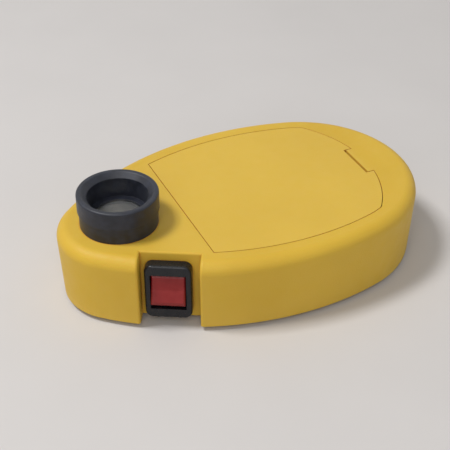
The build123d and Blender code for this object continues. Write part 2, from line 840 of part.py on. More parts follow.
with BuildPart() as lamp_holder:
    with BuildSketch(Plane.XY.offset(holder_bottom)):
        with Locations((small_x, 0)):
            Circle(holder_radius)
            SlotCenterToCenter(2 * holder_ear_reach, 2 * holder_boss_radius)
        with Locations(*lamp_wire_places):
            Circle(wire_hole_radius, mode=Mode.SUBTRACT)
        with Locations(*holder_screw_places):
            Circle(small_screw_radius + fit_gap, mode=Mode.SUBTRACT)
    extrude(amount=holder_floor)
    with BuildSketch(Plane.XY.offset(board_bottom)):
        with Locations((small_x, 0)):
            Circle(holder_radius)
            Circle(holder_radius - holder_wall, mode=Mode.SUBTRACT)
    extrude(amount=holder_top - board_bottom)
finish(lamp_holder.part, "lamp_holder", BLACK)

with BuildPart() as driver_board:
    with BuildSketch(Plane.XY.offset(driver_bottom)):
        with Locations((driver_x, driver_y)):
            Rectangle(driver_length, driver_width)
        with Locations(*driver_post_places):
            Circle(small_screw_radius + fit_gap, mode=Mode.SUBTRACT)
    extrude(amount=board_thickness)
finish(driver_board.part, "driver_board", GREEN)

with BuildPart() as dropper_resistor:
    axis_z = driver_top + resistor_radius + fit_gap
    with BuildSketch(Plane.XZ.offset(-driver_y - resistor_length / 2)):
        with Locations((driver_x, axis_z)):
            Circle(resistor_radius)
    extrude(amount=resistor_length)
    with BuildLine() as lead:
        FilletPolyline(
            (driver_x, driver_y - resistor_span / 2, driver_top + running_gap),
            (driver_x, driver_y - resistor_span / 2, axis_z),
            (driver_x, driver_y + resistor_span / 2, axis_z),
            (driver_x, driver_y + resistor_span / 2, driver_top + running_gap),
            radius=lead_bend,
        )
    with BuildSketch(Plane(lead.wire() @ 0, z_dir=(0, 0, 1))):
        Circle(lead_radius)
    sweep(path=lead.wire())
finish(dropper_resistor.part, "dropper_resistor", BLACK)

with BuildPart() as switch_body:
    with BuildSketch(switch_front.offset(-notch_depth)):
        RectangleRounded(bezel_width, bezel_height, bezel_corner_radius)
    extrude(amount=bezel_thickness)
    fillet(switch_body.faces().sort_by(Axis((0, 0, 0), outward))[-1].edges(), radius=bezel_edge_radius)
    with BuildSketch(switch_front.offset(-notch_depth)):
        Rectangle(housing_width, housing_height)
    extrude(amount=notch_depth - housing_back)
    with BuildSketch(switch_front.offset(bezel_thickness - notch_depth)):
        Rectangle(window_width, window_height)
    extrude(amount=notch_depth - bezel_thickness - cavity_back, mode=Mode.SUBTRACT)
    with BuildSketch(switch_side):
        Circle(trunnion_radius + running_gap)
    extrude(amount=rocker_width / 2 + trunnion_length + 2 * running_gap, both=True, mode=Mode.SUBTRACT)
    # slots for the two terminals, through the back wall
    with BuildSketch(switch_front.offset(-cavity_back + running_gap)):
        with Locations((0, 0), (0, -terminal_drop)):
            Rectangle(terminal_width + 2 * running_gap, terminal_thickness + 2 * running_gap)
    extrude(amount=-2 * switch_back_wall, mode=Mode.SUBTRACT)
finish(switch_body.part, "switch_body", BLACK)

with BuildPart() as switch_rocker:
    with BuildSketch(rocker_side):
        Circle(rocker_radius)
        Polygon(
            (-rocker_back, -rocker_radius),
            (rocker_end_rise, -rocker_radius),
            (rocker_centre_rise, 0),
            (rocker_end_rise, rocker_radius),
            (-rocker_back, rocker_radius),
            align=None,
            mode=Mode.INTERSECT,
        )
    extrude(amount=rocker_width / 2, both=True)
    front_faces = switch_rocker.faces().sort_by(Axis((0, 0, 0), outward))[-2:]
    rim_edges = [
        edge
        for face in front_faces
        for edge in face.edges()
        if (edge.center() - pivot_point).dot(rocker_side.x_dir) > rocker_centre_rise + running_gap
    ]
    chamfer(rim_edges, length=rocker_bevel)
    # trunnions, and the hollow stem that guides the sprung plunger
    with BuildSketch(switch_side):
        Circle(trunnion_radius)
    extrude(amount=rocker_width / 2 + trunnion_length, both=True)
    with BuildSketch(stem_plane):
        Circle(stem_radius)
    extrude(amount=stem_end)
    with BuildSketch(stem_plane.offset(plunger_root - running_gap)):
        Circle(plunger_radius + running_gap)
    extrude(amount=stem_end, mode=Mode.SUBTRACT)
finish(switch_rocker.part, "switch_rocker", RED)

with BuildPart() as switch_plunger:
    with BuildSketch(stem_plane.offset(plunger_root)):
        Circle(plunger_radius)
    extrude(amount=plunger_tip - plunger_root)
    tip_edge = switch_plunger.edges().sort_by(Axis(pivot_point, stem_plane.z_dir))[-1]
    fillet(tip_edge, radius=0.8 * plunger_radius)
finish(switch_plunger.part, "switch_plunger", STEEL)

with BuildPart() as switch_lever:
    with BuildSketch(lever_side):
        with Locations((fit_gap + lever_thickness / 2, 0)):
            Rectangle(lever_thickness, lever_length)
    extrude(amount=lever_width / 2, both=True)
finish(switch_lever.part, "switch_lever", STEEL)

upper_tip_depth = pivot_depth + lever_axis_depth
lower_tip_depth = upper_tip_depth + terminal_drop * math.tan(math.radians(lever_tilt))
with BuildPart() as switch_terminals:
    for drop, tip_depth in ((0, upper_tip_depth), (terminal_drop, lower_tip_depth)):
        with BuildSketch(switch_front.offset(-tip_depth)):
            with Locations((0, -drop)):
                Rectangle(terminal_width, terminal_thickness)
        extrude(amount=tip_depth - terminal_end)
finish(switch_terminals.part, "switch_terminals", STEEL)


def wire(points, name, colour):
    """A round wire along straight runs joined by arcs as large as the runs allow."""
    corners = [Vector(*point) for point in points]
    radii = []
    for before, corner, after in zip(corners, corners[1:], corners[2:]):
        run_in = corner - before
        run_out = after - corner
        bend = math.radians(run_in.get_angle(run_out))
        radii.append(0.45 * min(run_in.length, run_out.length) / math.tan(bend / 2))
    with BuildPart() as insulated:
        with BuildLine() as path:
            FilletPolyline(*corners, radius=radii)
        with BuildSketch(Plane(corners[0], z_dir=corners[1] - corners[0])):
            Circle(wire_radius)
        sweep(path=path.wire())
    section = math.pi * wire_radius**2
    run = path.wire().length
    print(name, "radii", [round(radius, 1) for radius in radii], end=" ")
    print("volume", round(insulated.part.volume, 2), "section times length", round(section * run, 2))
    finish(insulated.part, name, colour)


solder_x = near_face_x + wire_radius + running_gap
solder_z = tray_floor_height - solder_tab_drop + wire_radius
wire_start_depth = terminal_end + running_gap
lower_terminal_z = switch_height - terminal_drop
under_tray_z = solder_z - 0.4
wire(
    [
        (solder_x, cell_ys[0], solder_z),
        (solder_x, cell_ys[0] + 6, solder_z),
        (solder_x - 0.3, cell_ys[1] - 1.5, under_tray_z),
        (solder_x - 3.2, -1.8, under_tray_z),
        switch_point(0, terminal_end + 4, lower_terminal_z),
        switch_point(0, wire_start_depth, lower_terminal_z),
    ],
    "wire_battery_switch",
    RED,
)
wire(
    [
        switch_point(0, wire_start_depth, switch_height),
        switch_point(0, terminal_end + 4, switch_height),
        (driver_x + 14.5, driver_y + 1.5, switch_height + 0.4),
        (driver_x + 9, driver_y - 2.5, switch_height - 0.6),
        (driver_x + 5.6, driver_y - 4, driver_top + 4.5),
        (driver_x + 5.6, driver_y - 4, driver_top + running_gap),
    ],
    "wire_switch_board",
    RED,
)
wire(
    [
        (solder_x, cell_ys[3], solder_z),
        (solder_x, cell_ys[3] - 5, solder_z),
        (solder_x - 4, cell_ys[3] - 11, under_tray_z),
        (driver_x + 15, driver_y + 8, under_tray_z + 0.5),
        (driver_x + 9.5, driver_y + 5, driver_top + 2.2),
        (driver_x + 5.6, driver_y, driver_top + 4.2),
        (driver_x + 5.6, driver_y, driver_top + running_gap),
    ],
    "wire_battery_board",
    BLACK,
)
lamp_wire_x = driver_x - driver_length / 2 + 1.6
lamp_wire_ys = (driver_y + 0.4, driver_y + 4.4)
lamp_wires = zip(lamp_wire_places, lamp_wire_ys, ("wire_led_negative", "wire_led_positive"), (BLACK, RED))
for (end_x, end_y), start_y, name, colour in lamp_wires:
    wire(
        [
            (lamp_wire_x, start_y, driver_top + running_gap),
            (lamp_wire_x, start_y, driver_top + 3.6),
            (end_x + 0.3, end_y, board_bottom - 6.0),
            (end_x, end_y, board_bottom - 3.0),
            (end_x, end_y, board_bottom - running_gap),
        ],
        name,
        colour,
    )
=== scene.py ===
# %% [markdown]
# # An egg candling lamp, finished in Blender
# The lamp is a flat, egg-shaped battery housing with a rubber cup over a light at its
# small end. Its pieces come ready made and in place, in metres, as the imported model.
# This lesson sets up the camera and the light, gives each piece its finish, and then
# adds the solder joints, which are easier to make as meshes.

# %% Load the imported lamp
import bpy
import bmesh
import math
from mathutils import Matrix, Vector


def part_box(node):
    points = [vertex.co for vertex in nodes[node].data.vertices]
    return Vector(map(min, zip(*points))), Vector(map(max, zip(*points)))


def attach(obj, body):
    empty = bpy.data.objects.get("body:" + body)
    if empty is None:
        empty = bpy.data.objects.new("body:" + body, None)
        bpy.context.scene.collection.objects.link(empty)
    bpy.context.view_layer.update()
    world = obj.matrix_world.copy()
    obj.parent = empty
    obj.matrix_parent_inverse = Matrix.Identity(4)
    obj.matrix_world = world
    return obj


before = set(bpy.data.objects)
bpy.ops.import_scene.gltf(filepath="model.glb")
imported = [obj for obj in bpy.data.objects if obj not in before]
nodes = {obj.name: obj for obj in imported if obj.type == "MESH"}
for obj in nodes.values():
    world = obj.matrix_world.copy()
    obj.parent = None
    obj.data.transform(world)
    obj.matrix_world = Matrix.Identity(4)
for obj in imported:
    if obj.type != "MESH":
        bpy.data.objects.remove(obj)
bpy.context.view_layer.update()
MM = 0.001

# %% [markdown]
# ## Camera
# A photograph of a small thing on a table is taken from above and a little to one side.
# A camera can be placed by typing in coordinates, but an angle round the object, an
# angle above the table and a distance say more about the picture. The camera looks at
# the middle of the lamp, so it needs no shift, and a long lens fills the frame without
# changing the perspective that the distance gives.

# %% Place the camera
VIEW_AZIMUTH = math.radians(-24.5)
VIEW_ELEVATION = math.radians(35.6)
VIEW_DISTANCE = 0.4
LOOK_AT = Vector((-0.0055, 0, 0.015))
LENS = 88
SENSOR_WIDTH = 36
CLIP_START = 0.01
view_way = Vector((
    math.sin(VIEW_AZIMUTH) * math.cos(VIEW_ELEVATION),
    -math.cos(VIEW_AZIMUTH) * math.cos(VIEW_ELEVATION),
    math.sin(VIEW_ELEVATION),
))
camera = bpy.data.objects.new("camera", bpy.data.cameras.new("camera"))
bpy.context.scene.collection.objects.link(camera)
camera.location = LOOK_AT + view_way * VIEW_DISTANCE
camera.rotation_euler = (-view_way).to_track_quat("-Z", "Y").to_euler()
camera.data.lens = LENS
camera.data.sensor_width = SENSOR_WIDTH
camera.data.clip_start = CLIP_START
bpy.context.scene.camera = camera
bpy.context.scene.view_settings.view_transform = "Standard"
print("camera at", [round(value, 3) for value in camera.location])

# %% [markdown]
# ## A helper for materials
# Every finish here starts the same way: a principled shader, and texture coordinates
# in metres, taken from the object, so that a grain of half a millimetre stays half a
# millimetre on every piece. Small helpers for noise, for turning a grey value into a
# range, and for bumps keep each finish to a few lines.


# %% Material helpers
def new_finish(name):
    """A material with its shader and its coordinates in metres."""
    finish = bpy.data.materials.new(name)
    finish.use_nodes = True
    shader = finish.node_tree.nodes["Principled BSDF"]
    coords = finish.node_tree.nodes.new("ShaderNodeTexCoord").outputs["Object"]
    return finish, shader, coords


def noise(finish, coords, grain, detail=2.0, stretch=(1, 1, 1)):
    """Noise with grains of about the given size in metres, as a grey value."""
    tree = finish.node_tree
    stretched = tree.nodes.new("ShaderNodeMapping")
    stretched.inputs["Scale"].default_value = stretch
    tree.links.new(coords, stretched.inputs["Vector"])
    texture = tree.nodes.new("ShaderNodeTexNoise")
    texture.inputs["Scale"].default_value = 1 / grain
    texture.inputs["Detail"].default_value = detail
    tree.links.new(stretched.outputs["Vector"], texture.inputs["Vector"])
    return texture.outputs["Fac"]


def spread(finish, value, low, high, from_low=0.3, from_high=0.7):
    """Maps a grey value onto a range of numbers."""
    node = finish.node_tree.nodes.new("ShaderNodeMapRange")
    node.inputs["From Min"].default_value = from_low
    node.inputs["From Max"].default_value = from_high
    node.inputs["To Min"].default_value = low
    node.inputs["To Max"].default_value = high
    finish.node_tree.links.new(value, node.inputs["Value"])
    return node.outputs["Result"]


def ramp(finish, value, stops, hard=False):
    """Colours along a grey value. With hard, they change without blending."""
    node = finish.node_tree.nodes.new("ShaderNodeValToRGB")
    if hard:
        node.color_ramp.interpolation = "CONSTANT"
    while len(node.color_ramp.elements) < len(stops):
        node.color_ramp.elements.new(0.5)
    for element, (place, colour) in zip(node.color_ramp.elements, stops):
        element.position = place
        element.color = (*colour, 1)
    finish.node_tree.links.new(value, node.inputs["Fac"])
    return node.outputs["Color"]


def mix(finish, amount, first, second):
    """Blends two colours by a grey value. Each colour is a socket or three numbers."""
    node = finish.node_tree.nodes.new("ShaderNodeMix")
    node.data_type = "RGBA"
    finish.node_tree.links.new(amount, node.inputs["Factor"])
    ends = [socket for socket in node.inputs if socket.type == "RGBA"]
    for socket, colour in zip(ends, (first, second)):
        if isinstance(colour, bpy.types.NodeSocket):
            finish.node_tree.links.new(colour, socket)
        else:
            socket.default_value = (*colour, 1)
    return [socket for socket in node.outputs if socket.type == "RGBA"][0]


def bump(finish, shader, height, depth, edge=0.0002):
    """Bumps of a depth in metres, on a surface whose sharp edges look slightly rounded."""
    tree = finish.node_tree
    rounded = tree.nodes.new("ShaderNodeBevel")
    rounded.samples = 4
    rounded.inputs["Radius"].default_value = edge
    node = tree.nodes.new("ShaderNodeBump")
    node.inputs["Strength"].default_value = 1.0
    node.inputs["Distance"].default_value = depth
    tree.links.new(height, node.inputs["Height"])
    tree.links.new(rounded.outputs["Normal"], node.inputs["Normal"])
    tree.links.new(node.outputs["Normal"], shader.inputs["Normal"])


print("material helpers ready")

# %% [markdown]
# ## Floor, backdrop and light
# The lamp stands on plain pale paper. One sheet that curves up behind it would do, but
# in the other views the camera goes all round, so a wide flat floor and a plain world
# are safer. The world looks pale to the camera, to mirrors and to clear plastic, while
# it lights the lamp at its own lower level. The floor is a real surface, so it keeps
# the soft shadow under the housing.

# %% Floor and world
FLOOR_SIZE = 6.0
PAPER = (0.65, 0.625, 0.61)
PAPER_CLOUD = 0.05
PAPER_SHADE = 0.97
PAPER_ROUGHNESS = 0.9
AMBIENT = 0.33
AMBIENT_TINT = (1, 0.99, 0.98)
BACKDROP = (0.82, 0.81, 0.80)
floor_mesh = bpy.data.meshes.new("floor")
half = FLOOR_SIZE / 2
corners = [(-half, -half, 0), (half, -half, 0), (half, half, 0), (-half, half, 0)]
floor_mesh.from_pydata(corners, [], [(0, 1, 2, 3)])
floor = bpy.data.objects.new("floor", floor_mesh)
bpy.context.scene.collection.objects.link(floor)
paper, paper_shader, paper_coords = new_finish("pale_paper")
paper_shade = noise(paper, paper_coords, PAPER_CLOUD, detail=4)
paper.node_tree.links.new(
    ramp(paper, paper_shade, [(0.3, tuple(PAPER_SHADE * part for part in PAPER)), (0.7, PAPER)]),
    paper_shader.inputs["Base Color"],
)
paper_shader.inputs["Roughness"].default_value = PAPER_ROUGHNESS
floor_mesh.materials.append(paper)

world = bpy.data.worlds.new("studio")
bpy.context.scene.world = world
world.use_nodes = True
tree = world.node_tree
lit = tree.nodes["Background"]
lit.inputs["Color"].default_value = (*AMBIENT_TINT, 1)
lit.inputs["Strength"].default_value = AMBIENT
seen = tree.nodes.new("ShaderNodeBackground")
seen.inputs["Color"].default_value = (*BACKDROP, 1)
seen.inputs["Strength"].default_value = 1.0
paths = tree.nodes.new("ShaderNodeLightPath")
either = None
for ray in ("Is Camera Ray", "Is Glossy Ray", "Is Transmission Ray"):
    if either is None:
        either = paths.outputs[ray]
        continue
    larger = tree.nodes.new("ShaderNodeMath")
    larger.operation = "MAXIMUM"
    tree.links.new(either, larger.inputs[0])
    tree.links.new(paths.outputs[ray], larger.inputs[1])
    either = larger.outputs["Value"]
chooser = tree.nodes.new("ShaderNodeMixShader")
tree.links.new(either, chooser.inputs["Fac"])
tree.links.new(lit.outputs["Background"], chooser.inputs[1])
tree.links.new(seen.outputs["Background"], chooser.inputs[2])
tree.links.new(chooser.outputs["Shader"], tree.nodes["World Output"].inputs["Surface"])
print("floor", FLOOR_SIZE, "m, ambient", AMBIENT)

# %% [markdown]
# Two large soft lamps model the shape. The main one stands high up, to the left and a
# little behind, so the deck is the brightest face, the small end comes next, and the
# shadow of the cup falls to the right and forwards. The second one is wide and weak. It
# stands beside the camera and keeps the long flank from going grey. The distances and
# sizes are in metres.
# A lamp's power can be guessed and corrected after a render. Here it is worked out from
# the brightness that a white surface facing the lamp should have at its distance.


# %% Lamps
def soft_lamp(name, way, distance, size, brightness):
    """A square area lamp at a distance in the given direction, aimed at the subject."""
    light = bpy.data.lights.new(name, "AREA")
    light.size = size
    light.energy = brightness * (math.pi * distance) ** 2
    lamp = bpy.data.objects.new(name, light)
    bpy.context.scene.collection.objects.link(lamp)
    lamp.location = LOOK_AT + Vector(way).normalized() * distance
    lamp.rotation_euler = (-Vector(way)).to_track_quat("-Z", "Y").to_euler()
    return lamp


MAIN_WAY = (-0.5, 0.15, 1.0)
FILL_WAY = (-0.42, -0.76, 0.7)
main_lamp = soft_lamp("main_lamp", MAIN_WAY, distance=1.25, size=0.3, brightness=0.62)
fill_lamp = soft_lamp("fill_lamp", FILL_WAY, distance=1.2, size=0.7, brightness=0.24)
print("lamp powers in watts:", round(main_lamp.data.energy, 1), round(fill_lamp.data.energy, 1))

# %% [markdown]
# ## Moulded yellow plastic
# The housing, base and cover are injection moulded. The mould is spark eroded, which
# leaves a fine satin grain, and the colour is never quite even. One texture could be
# painted for it, but noise in metres covers all three pieces alike: broad noise for the
# tone and fine noise for the grain. Sharp convex edges, found by their pointiness, are a
# slightly paler yellow. Light that enters a narrow gap bounces between yellow walls and
# comes out redder, so ambient occlusion blends the gaps towards orange, and a little light
# also travels under the surface.

# %% Yellow plastic
YELLOW = (0.69, 0.445, 0.045)
YELLOW_DEEP = (0.63, 0.395, 0.034)
YELLOW_EDGE_PALE = (0.73, 0.50, 0.09)
GAP_ORANGE = (0.60, 0.20, 0.02)
CLOUD_SIZE = 0.035
SHEEN_SIZE = 0.004
GRAIN_SIZE = 0.0005
GRAIN_DEPTH = 0.00007
GAP_REACH = 0.0012
LIGHT_TRAVEL = 0.0012


def yellow_plastic():
    """Satin moulded plastic with a spark-eroded grain."""
    finish, shader, coords = new_finish("yellow_plastic")
    links = finish.node_tree.links
    cloudy = noise(finish, coords, CLOUD_SIZE, detail=3)
    colour = ramp(finish, cloudy, [(0.3, YELLOW_DEEP), (0.68, YELLOW)])
    # Sharp convex edges, found by their pointiness, turn a slightly paler yellow.
    convex_edges = finish.node_tree.nodes.new("ShaderNodeNewGeometry").outputs["Pointiness"]
    colour = mix(finish, spread(finish, convex_edges, 0.0, 0.35, 0.52, 0.6), colour, YELLOW_EDGE_PALE)
    corner = finish.node_tree.nodes.new("ShaderNodeAmbientOcclusion")
    corner.inputs["Distance"].default_value = GAP_REACH
    corner.samples = 8
    colour = mix(finish, spread(finish, corner.outputs["AO"], 0.8, 0.0, 0.35, 0.8), colour, GAP_ORANGE)
    links.new(colour, shader.inputs["Base Color"])
    links.new(spread(finish, noise(finish, coords, SHEEN_SIZE), 0.46, 0.58), shader.inputs["Roughness"])
    shader.inputs["Specular IOR Level"].default_value = 0.35
    shader.inputs["Subsurface Weight"].default_value = 0.12
    shader.inputs["Subsurface Radius"].default_value = (1.0, 0.45, 0.12)
    shader.inputs["Subsurface Scale"].default_value = LIGHT_TRAVEL
    bump(finish, shader, noise(finish, coords, GRAIN_SIZE, detail=3), GRAIN_DEPTH)
    return finish


housing_finish = yellow_plastic()
print("made", housing_finish.name)

# %% [markdown]
# ## Black rubber
# The cup and the feet are soft rubber, so what stands on the cup isn't scratched and the
# lamp doesn't slide. Rubber is dark but not black: it keeps a bluish bloom and holds
# dust in small patches. It is a little uneven in shine, with a soft sheen at a low angle.

# %% Rubber
RUBBER = (0.006, 0.008, 0.016)
RUBBER_DUSTY = (0.019, 0.023, 0.038)
DUST_SIZE = 0.003
RUBBER_GRAIN = 0.0006
RUBBER_DEPTH = 0.00005


def black_rubber():
    """Moulded rubber with a bloom and a little dust."""
    finish, shader, coords = new_finish("black_rubber")
    links = finish.node_tree.links
    dust = noise(finish, coords, DUST_SIZE, detail=6)
    links.new(ramp(finish, dust, [(0.42, RUBBER), (0.75, RUBBER_DUSTY)]), shader.inputs["Base Color"])
    links.new(spread(finish, dust, 0.36, 0.56), shader.inputs["Roughness"])
    shader.inputs["Sheen Weight"].default_value = 0.04
    shader.inputs["Sheen Roughness"].default_value = 0.4
    bump(finish, shader, noise(finish, coords, RUBBER_GRAIN, detail=4), RUBBER_DEPTH)
    return finish


rubber_finish = black_rubber()
print("made", rubber_finish.name)

# %% [markdown]
# ## Plastics of the switch, the tray and the lamp holder
# These are all one kind of finish in different colours: smooth moulded plastic whose
# polish is broken by faint handling marks. One function with a colour and a roughness
# makes them, because only those two things differ between a glossy switch and a satin
# battery tray.


# %% Smooth plastics
MARK_SIZE = 0.0025
SCRATCH_SIZE = 0.0008
PLASTIC_GRAIN = 0.0004
SWITCH_SHINE = 0.35


def smooth_plastic(name, colour, roughness, grain_depth=0.00001):
    """Moulded plastic with faint marks from handling."""
    finish, shader, coords = new_finish(name)
    links = finish.node_tree.links
    paler = tuple(min(1, part * 1.15 + 0.006) for part in colour)
    marks = noise(finish, coords, MARK_SIZE, detail=5)
    links.new(ramp(finish, marks, [(0.35, colour), (0.75, paler)]), shader.inputs["Base Color"])
    scratches = noise(finish, coords, SCRATCH_SIZE, detail=3, stretch=(1, 1, 0.15))
    links.new(spread(finish, scratches, 0.8 * roughness, 1.25 * roughness), shader.inputs["Roughness"])
    bump(finish, shader, noise(finish, coords, PLASTIC_GRAIN, detail=2), grain_depth)
    return finish


switch_black = smooth_plastic("switch_black_plastic", (0.006, 0.007, 0.010), 0.3)
switch_red = smooth_plastic("switch_red_plastic", (0.225, 0.011, 0.011), 0.42)
for switch_plastic in (switch_black, switch_red):
    switch_shader = switch_plastic.node_tree.nodes["Principled BSDF"]
    switch_shader.inputs["Specular IOR Level"].default_value = SWITCH_SHINE
tray_black = smooth_plastic("tray_black_plastic", (0.018, 0.018, 0.02), 0.48, 0.00003)
print("made", switch_black.name, switch_red.name, tray_black.name)

# %% [markdown]
# ## Metals
# Screws are zinc plated, springs and contacts nickel plated, and the parts of the
# switch that carry the current are brass. All three are a metallic shader with its own
# tint. Drawing and rolling leave fine lines along a wire or strip, so the noise is
# stretched one way, and it drives the roughness and a very shallow bump.


# %% Metals
STAIN_SIZE = 0.002
LINE_SIZE = 0.0004
LINE_DEPTH = 0.000012
METAL_EDGE = 0.00012


def drawn_metal(name, colour, tarnish, roughness, stretch):
    """Bare or plated metal with fine lines from drawing or rolling."""
    finish, shader, coords = new_finish(name)
    links = finish.node_tree.links
    shader.inputs["Metallic"].default_value = 1.0
    stains = noise(finish, coords, STAIN_SIZE, detail=4)
    links.new(ramp(finish, stains, [(0.35, colour), (0.8, tarnish)]), shader.inputs["Base Color"])
    lines = noise(finish, coords, LINE_SIZE, detail=3, stretch=stretch)
    links.new(spread(finish, lines, 0.75 * roughness, 1.3 * roughness), shader.inputs["Roughness"])
    bump(finish, shader, lines, LINE_DEPTH, edge=METAL_EDGE)
    return finish


screw_zinc = drawn_metal("zinc_plate", (0.60, 0.61, 0.63), (0.42, 0.43, 0.45), 0.3, (1, 1, 1))
nickel = drawn_metal("nickel_plate", (0.72, 0.70, 0.66), (0.52, 0.49, 0.44), 0.24, (1, 0.2, 0.2))
brass = drawn_metal("brass", (0.80, 0.60, 0.27), (0.58, 0.40, 0.17), 0.28, (1, 1, 0.2))
mirror_metal = drawn_metal("polished_reflector", (0.90, 0.90, 0.91), (0.82, 0.82, 0.84), 0.09, (1, 1, 1))
print("made", screw_zinc.name, nickel.name, brass.name, mirror_metal.name)

# %% [markdown]
# ## Bands along an axis
# Several small parts change colour along their length: a cell has a metal end and a
# printed sleeve, a resistor has its rings, a light has a white base under its dome. It
# would be easy to cut such a mesh into pieces, but it is one solid on the real object
# too. So one coordinate is mapped from 0 to 1 between two places, and a ramp with hard
# steps paints the bands.


# %% Banded finishes
GRIME = (0.2, 0.19, 0.18)
BAND_GRAIN = 0.0005
BAND_DEPTH = 0.00001


def along_axis(finish, coords, axis, low, high):
    """0 to 1 between two places along an axis of the object, in metres."""
    parts = finish.node_tree.nodes.new("ShaderNodeSeparateXYZ")
    finish.node_tree.links.new(coords, parts.inputs["Vector"])
    return spread(finish, parts.outputs[axis], 0.0, 1.0, low, high)


def banded(name, axis, low, high, stops, metal_stops, roughness, grain=0.002):
    """A finish whose colour and metal change in steps along an axis."""
    finish, shader, coords = new_finish(name)
    links = finish.node_tree.links
    place = along_axis(finish, coords, axis, low, high)
    bands = ramp(finish, place, stops, hard=True)
    grime = noise(finish, coords, grain, detail=4)
    dull = mix(finish, spread(finish, grime, 0.0, 0.18), bands, GRIME)
    links.new(dull, shader.inputs["Base Color"])
    greys = [(stop, (value, value, value)) for stop, value in metal_stops]
    links.new(ramp(finish, place, greys, hard=True), shader.inputs["Metallic"])
    links.new(spread(finish, grime, 0.8 * roughness, 1.3 * roughness), shader.inputs["Roughness"])
    bump(finish, shader, noise(finish, coords, BAND_GRAIN), BAND_DEPTH)
    return finish


STEEL_END = (0.66, 0.65, 0.63)
SLEEVE = (0.045, 0.075, 0.13)
SLEEVE_PLUS = (0.42, 0.44, 0.46)
SLEEVE_RING = (0.7, 0.71, 0.7)
NUB_SHARE = 0.024
PLUS_SHARE = 0.24
RING_SHARE = 0.02
CAN_SHARE = 0.006
cell_finishes = {}
for cell in ("cell_1", "cell_2", "cell_3", "cell_4"):
    low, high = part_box(cell)
    bands = [
        (0, STEEL_END),
        (NUB_SHARE, SLEEVE_PLUS),
        (PLUS_SHARE, SLEEVE_RING),
        (PLUS_SHARE + RING_SHARE, SLEEVE),
        (1 - CAN_SHARE, STEEL_END),
    ]
    metal = [(0, 1), (NUB_SHARE, 0), (1 - CAN_SHARE, 1)]
    start, end = (low.x, high.x) if cell in ("cell_1", "cell_3") else (high.x, low.x)
    cell_finishes[cell] = banded(f"{cell}_sleeve", "X", start, end, bands, metal, 0.32)
print("made", len(cell_finishes), "cell sleeves")

# %% [markdown]
# ## Small electrical parts
# The resistor's coloured rings and the light's dome use the same bands. The lamp is
# switched on in the picture, so the dome also gives a faint warm glow. The boards get
# a solder mask with a faint pattern of tracks under it. A brick texture with narrow
# joints gives straight tracks that turn at right angles, which is close to what a board
# shows through its mask.

# %% Resistor, light and boards
resistor_low, resistor_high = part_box("dropper_resistor")
TIN = (0.62, 0.61, 0.58)
CREAM = (0.62, 0.47, 0.27)
RING_BROWN = (0.12, 0.04, 0.015)
RING_BLACK = (0.01, 0.01, 0.01)
RING_GOLD = (0.45, 0.3, 0.08)
BODY_START = 0.19
BODY_END = 0.81
RING_WIDTH = 0.06
RINGS = ((0.28, RING_BROWN), (0.42, RING_BLACK), (0.55, RING_BROWN), (0.70, RING_GOLD))
resistor_bands = [(0.0, TIN), (BODY_START, CREAM)]
for ring_start, ring_colour in RINGS:
    resistor_bands += [(ring_start, ring_colour), (ring_start + RING_WIDTH, CREAM)]
resistor_bands.append((BODY_END, TIN))
resistor_metal = [(0, 1), (BODY_START, 0), (BODY_END, 1)]
resistor_finish = banded(
    "resistor_lacquer", "Y", resistor_low.y, resistor_high.y, resistor_bands, resistor_metal, 0.25, 0.001
)
light_low, light_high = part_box("led_emitter")
CERAMIC = (0.78, 0.77, 0.73)
PHOSPHOR = (0.80, 0.62, 0.10)
DOME_START = 0.30
GLOW = (1.0, 0.86, 0.62)
GLOW_STRENGTH = 2.5
light_bands = [(0, CERAMIC), (DOME_START, PHOSPHOR)]
light_finish = banded(
    "light_dome", "Z", light_low.z, light_high.z, light_bands, [(0, 0), (1, 0)], 0.14, 0.0008
)
light_shader = light_finish.node_tree.nodes["Principled BSDF"]
light_shader.inputs["Emission Color"].default_value = (*GLOW, 1)
light_shader.inputs["Emission Strength"].default_value = GLOW_STRENGTH


TRACK_WIDTH = 0.06
TRACK_DEPTH = 0.00003
MASK_GRAIN = 0.001


def circuit_board(name, mask, track, track_size):
    """Solder mask over copper tracks."""
    finish, shader, coords = new_finish(name)
    links = finish.node_tree.links
    tracks = finish.node_tree.nodes.new("ShaderNodeTexBrick")
    tracks.inputs["Color1"].default_value = (*mask, 1)
    tracks.inputs["Color2"].default_value = (*(0.85 * part for part in mask), 1)
    tracks.inputs["Mortar"].default_value = (*track, 1)
    tracks.inputs["Scale"].default_value = 1 / track_size
    tracks.inputs["Mortar Size"].default_value = TRACK_WIDTH
    links.new(coords, tracks.inputs["Vector"])
    links.new(tracks.outputs["Color"], shader.inputs["Base Color"])
    links.new(spread(finish, noise(finish, coords, MASK_GRAIN), 0.28, 0.42), shader.inputs["Roughness"])
    bump(finish, shader, tracks.outputs["Fac"], TRACK_DEPTH)
    return finish


driver_finish = circuit_board("green_board", (0.012, 0.10, 0.04), (0.03, 0.19, 0.08), 0.012)
lamp_board_finish = circuit_board("white_board", (0.74, 0.74, 0.71), (0.62, 0.62, 0.58), 0.016)
print("made", resistor_finish.name, light_finish.name, driver_finish.name, lamp_board_finish.name)

# %% [markdown]
# ## The clear window
# A clear disc keeps dust and water out of the light. Glass could be a glass shader
# alone, but this one is moulded plastic: slightly cloudy, with a faint ripple that
# bends what is seen through it. Its index of refraction is one number all over, so it
# is set straight on the shader.


# %% Window plastic
CLOUD_GRAIN = 0.004
RIPPLE_SIZE = 0.003
RIPPLE_DEPTH = 0.00004
WINDOW_CLEAR = 0.92
WINDOW_IOR = 1.49


